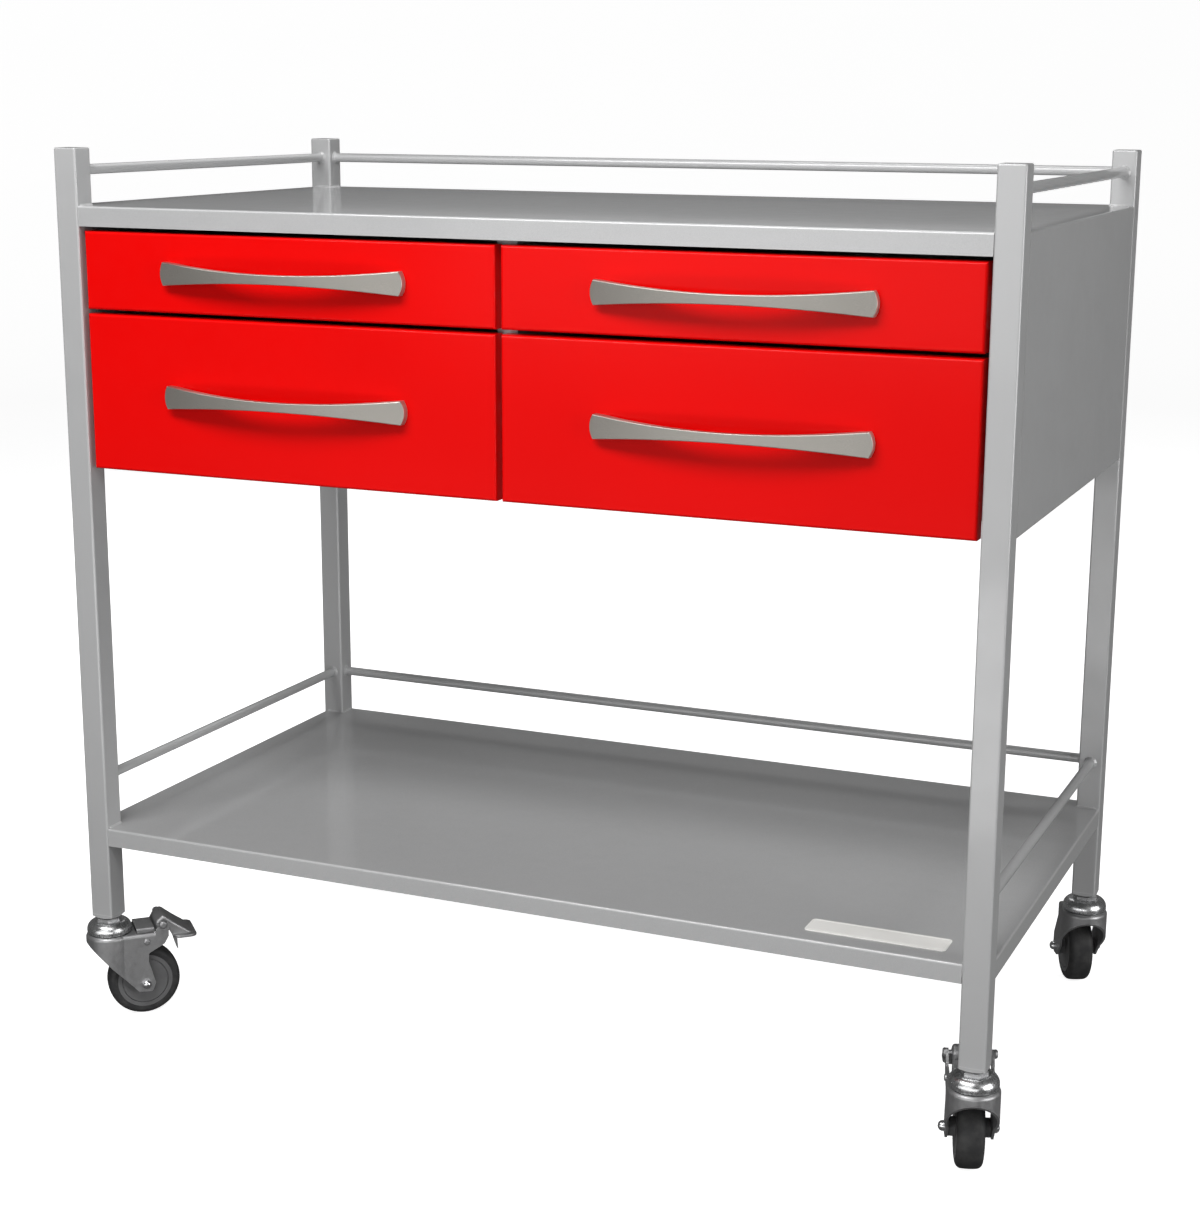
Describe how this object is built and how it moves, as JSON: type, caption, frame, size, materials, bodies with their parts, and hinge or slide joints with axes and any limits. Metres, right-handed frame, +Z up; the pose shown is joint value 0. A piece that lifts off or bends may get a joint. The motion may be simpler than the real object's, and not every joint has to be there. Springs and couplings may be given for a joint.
{
  "type": "instrument cart",
  "caption": "Wheeled instrument cart: square-tube frame, railed top shelf over two columns of drawers, open lower shelf, braked swivel casters.",
  "frame": {"origin": "on the floor, midway between the four posts", "axes": "+X towards the cart's right as seen by a user facing the drawers, -Y out of the drawer fronts, +Z up"},
  "size_m": [0.9819, 0.589, 0.9],
  "materials": {
    "frame_paint": "satin powder coat, light silver grey",
    "drawer_paint": "gloss powder coat, red",
    "handle_nickel": "brushed nickel",
    "runner_zinc": "bright zinc",
    "swivel_chrome": "polished",
    "fork_zinc": "dull zinc on pressed steel",
    "wheel_hub": "matt grey nylon",
    "tyre": "matt grey-black elastomer",
    "label": "blank off-white laminate"
  },
  "bodies": {
    "cart_frame": {"post_front_left": "frame_paint", "post_front_right": "frame_paint", "post_rear_left": "frame_paint", "post_rear_right": "frame_paint", "top_shelf": "frame_paint", "lower_shelf": "frame_paint", "top_side_rails": "frame_paint", "top_rear_rail": "frame_paint", "lower_side_rails": "frame_paint", "lower_rear_rail": "frame_paint", "side_panel_left": "frame_paint", "side_panel_right": "frame_paint", "back_panel": "frame_paint", "centre_divider": "frame_paint", "runner_mount_plates": "frame_paint", "runner_channels": "runner_zinc", "label_plate": "label", "caster_inserts": "frame_paint", "caster_stems": "fork_zinc", "caster_raceways": "swivel_chrome"},
    "drawer_top_left": {"drawer_front_top_left": "drawer_paint", "drawer_tray_top_left": "frame_paint", "drawer_handle_top_left": "handle_nickel", "runner_inner_top_left": "runner_zinc"},
    "runner_pair_top_left": {"runner_middle_top_left": "runner_zinc"},
    "drawer_top_right": {"drawer_front_top_right": "drawer_paint", "drawer_tray_top_right": "frame_paint", "drawer_handle_top_right": "handle_nickel", "runner_inner_top_right": "runner_zinc"},
    "runner_pair_top_right": {"runner_middle_top_right": "runner_zinc"},
    "drawer_bottom_left": {"drawer_front_bottom_left": "drawer_paint", "drawer_tray_bottom_left": "frame_paint", "drawer_handle_bottom_left": "handle_nickel", "runner_inner_bottom_left": "runner_zinc"},
    "runner_pair_bottom_left": {"runner_middle_bottom_left": "runner_zinc"},
    "drawer_bottom_right": {"drawer_front_bottom_right": "drawer_paint", "drawer_tray_bottom_right": "frame_paint", "drawer_handle_bottom_right": "handle_nickel", "runner_inner_bottom_right": "runner_zinc"},
    "runner_pair_bottom_right": {"runner_middle_bottom_right": "runner_zinc"},
    "caster_front_left": {"caster_fork_front_left": "fork_zinc", "caster_axle_front_left": "swivel_chrome", "brake_spring_front_left": "fork_zinc"},
    "wheel_front_left": {"caster_hub_front_left": "wheel_hub", "caster_tyre_front_left": "tyre"},
    "pedal_front_left": {"brake_pedal_front_left": "fork_zinc"},
    "caster_front_right": {"caster_fork_front_right": "fork_zinc", "caster_axle_front_right": "swivel_chrome", "brake_spring_front_right": "fork_zinc"},
    "wheel_front_right": {"caster_hub_front_right": "wheel_hub", "caster_tyre_front_right": "tyre"},
    "pedal_front_right": {"brake_pedal_front_right": "fork_zinc"},
    "caster_rear_left": {"caster_fork_rear_left": "fork_zinc", "caster_axle_rear_left": "swivel_chrome"},
    "wheel_rear_left": {"caster_hub_rear_left": "wheel_hub", "caster_tyre_rear_left": "tyre"},
    "caster_rear_right": {"caster_fork_rear_right": "fork_zinc", "caster_axle_rear_right": "swivel_chrome"},
    "wheel_rear_right": {"caster_hub_rear_right": "wheel_hub", "caster_tyre_rear_right": "tyre"}
  },
  "joints": [
    {"name": "drawer_slide_top_left", "type": "slide", "parent": "cart_frame", "child": "drawer_top_left", "axis": [0, -1, 0], "range_m": [0, 0.38]},
    {"name": "runner_slide_top_left", "type": "slide", "parent": "cart_frame", "child": "runner_pair_top_left", "axis": [0, -1, 0], "range_m": [0, 0.19]},
    {"name": "drawer_slide_top_right", "type": "slide", "parent": "cart_frame", "child": "drawer_top_right", "axis": [0, -1, 0], "range_m": [0, 0.38]},
    {"name": "runner_slide_top_right", "type": "slide", "parent": "cart_frame", "child": "runner_pair_top_right", "axis": [0, -1, 0], "range_m": [0, 0.19]},
    {"name": "drawer_slide_bottom_left", "type": "slide", "parent": "cart_frame", "child": "drawer_bottom_left", "axis": [0, -1, 0], "range_m": [0, 0.38]},
    {"name": "runner_slide_bottom_left", "type": "slide", "parent": "cart_frame", "child": "runner_pair_bottom_left", "axis": [0, -1, 0], "range_m": [0, 0.19]},
    {"name": "drawer_slide_bottom_right", "type": "slide", "parent": "cart_frame", "child": "drawer_bottom_right", "axis": [0, -1, 0], "range_m": [0, 0.38]},
    {"name": "runner_slide_bottom_right", "type": "slide", "parent": "cart_frame", "child": "runner_pair_bottom_right", "axis": [0, -1, 0], "range_m": [0, 0.19]},
    {"name": "caster_swivel_front_left", "type": "hinge", "parent": "cart_frame", "child": "caster_front_left", "pos_m": [-0.4625, -0.2425, 0.093], "axis": [0, 0, 1], "continuous": true},
    {"name": "wheel_spin_front_left", "type": "hinge", "parent": "caster_front_left", "child": "wheel_front_left", "pos_m": [-0.43876, -0.21958, 0.0375], "axis": [-0.6947, 0.7193, 0], "continuous": true},
    {"name": "brake_pivot_front_left", "type": "hinge", "parent": "caster_front_left", "child": "pedal_front_left", "pos_m": [-0.42473, -0.20603, 0.101], "axis": [-0.6947, 0.7193, 0], "range_deg": [0, 12]},
    {"name": "caster_swivel_front_right", "type": "hinge", "parent": "cart_frame", "child": "caster_front_right", "pos_m": [0.4625, -0.2425, 0.093], "axis": [0, 0, 1], "continuous": true},
    {"name": "wheel_spin_front_right", "type": "hinge", "parent": "caster_front_right", "child": "wheel_front_right", "pos_m": [0.4523, -0.21111, 0.0375], "axis": [-0.9511, -0.309, 0], "continuous": true},
    {"name": "brake_pivot_front_right", "type": "hinge", "parent": "caster_front_right", "child": "pedal_front_right", "pos_m": [0.44628, -0.19257, 0.101], "axis": [-0.9511, -0.309, 0], "range_deg": [0, 12]},
    {"name": "caster_swivel_rear_left", "type": "hinge", "parent": "cart_frame", "child": "caster_rear_left", "pos_m": [-0.4625, 0.2425, 0.093], "axis": [0, 0, 1], "continuous": true},
    {"name": "wheel_spin_rear_left", "type": "hinge", "parent": "caster_rear_left", "child": "wheel_rear_left", "pos_m": [-0.46709, 0.27518, 0.0375], "axis": [-0.9903, -0.1392, 0], "continuous": true},
    {"name": "caster_swivel_rear_right", "type": "hinge", "parent": "cart_frame", "child": "caster_rear_right", "pos_m": [0.4625, 0.2425, 0.093], "axis": [0, 0, 1], "continuous": true},
    {"name": "wheel_spin_rear_right", "type": "hinge", "parent": "caster_rear_right", "child": "wheel_rear_right", "pos_m": [0.44908, 0.27265, 0.0375], "axis": [-0.9135, -0.4067, 0], "continuous": true}
  ],
  "couplings": [
    {"joint": "runner_slide_top_left", "follows": "drawer_slide_top_left", "ratio": 0.5},
    {"joint": "runner_slide_top_right", "follows": "drawer_slide_top_right", "ratio": 0.5},
    {"joint": "runner_slide_bottom_left", "follows": "drawer_slide_bottom_left", "ratio": 0.5},
    {"joint": "runner_slide_bottom_right", "follows": "drawer_slide_bottom_right", "ratio": 0.5}
  ]
}
